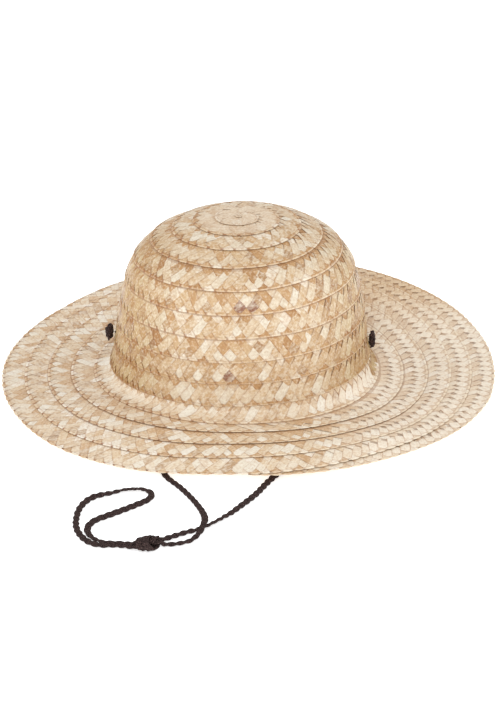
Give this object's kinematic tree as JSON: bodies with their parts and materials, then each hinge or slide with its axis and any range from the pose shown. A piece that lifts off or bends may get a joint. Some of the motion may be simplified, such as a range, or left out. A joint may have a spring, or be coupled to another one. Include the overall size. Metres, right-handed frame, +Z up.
{
  "type": "straw hat",
  "caption": "Straw sun hat with a domed crown, a wide wavy brim of sewn plaited rows and a braided chin cord with a knot and loop.",
  "frame": {"origin": "middle of the brim's outline on the surface that the hat rests on, measured without the cord", "axes": "+Z up through the crown, -Y towards the wearer's front, +X to the right in the picture"},
  "size_m": [0.3494, 0.4186, 0.1189],
  "materials": {
    "straw_crown": "satin",
    "straw_brim": "satin",
    "cord_brown": "matte"
  },
  "bodies": {
    "root": {"crown": "straw_crown", "brim": "straw_brim", "side_knot_left": "cord_brown", "side_knot_right": "cord_brown", "chin_knot": "cord_brown", "cord_left": "cord_brown", "cord_right": "cord_brown", "cord_loop": "cord_brown"}
  },
  "joints": []
}
